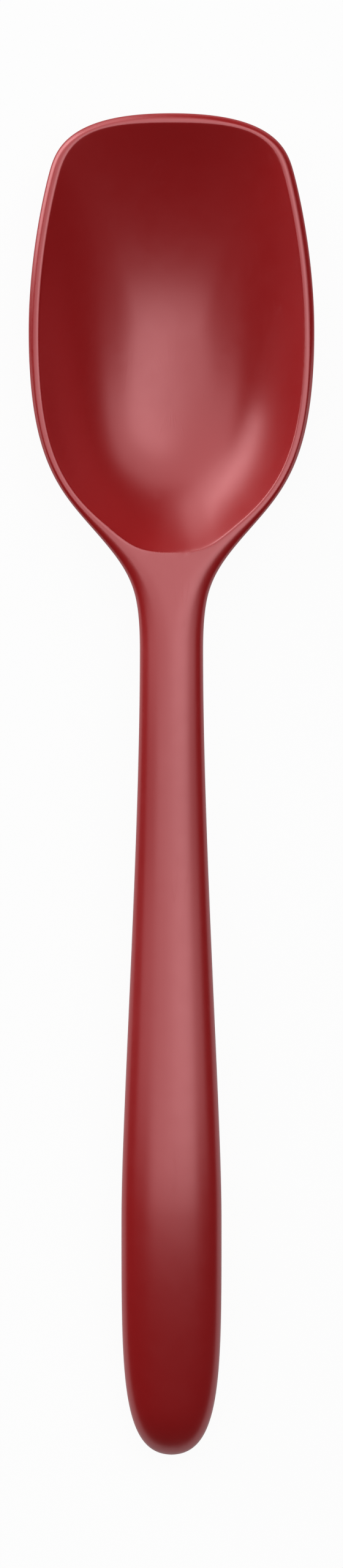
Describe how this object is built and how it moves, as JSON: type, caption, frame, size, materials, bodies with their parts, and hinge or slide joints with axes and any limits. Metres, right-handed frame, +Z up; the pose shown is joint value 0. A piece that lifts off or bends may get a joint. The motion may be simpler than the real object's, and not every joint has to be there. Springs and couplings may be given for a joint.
{
  "type": "serving spoon",
  "caption": "Moulded serving spoon with a deep blunt-ended bowl, a thin even rim, and a slender arched handle that swells towards a rounded tail.",
  "frame": {"origin": "on the table, under the middle of the spoon's length and width, with the spoon lying bowl up", "axes": "+Y along the spoon from the tail of the handle to the blunt tip of the bowl, +Z up out of the bowl, +X across the spoon"},
  "size_m": [0.0554, 0.26, 0.0185],
  "materials": {
    "red_melamine": "satin gloss, coloured right through"
  },
  "bodies": {
    "root": {"spoon": "red_melamine"}
  },
  "joints": []
}
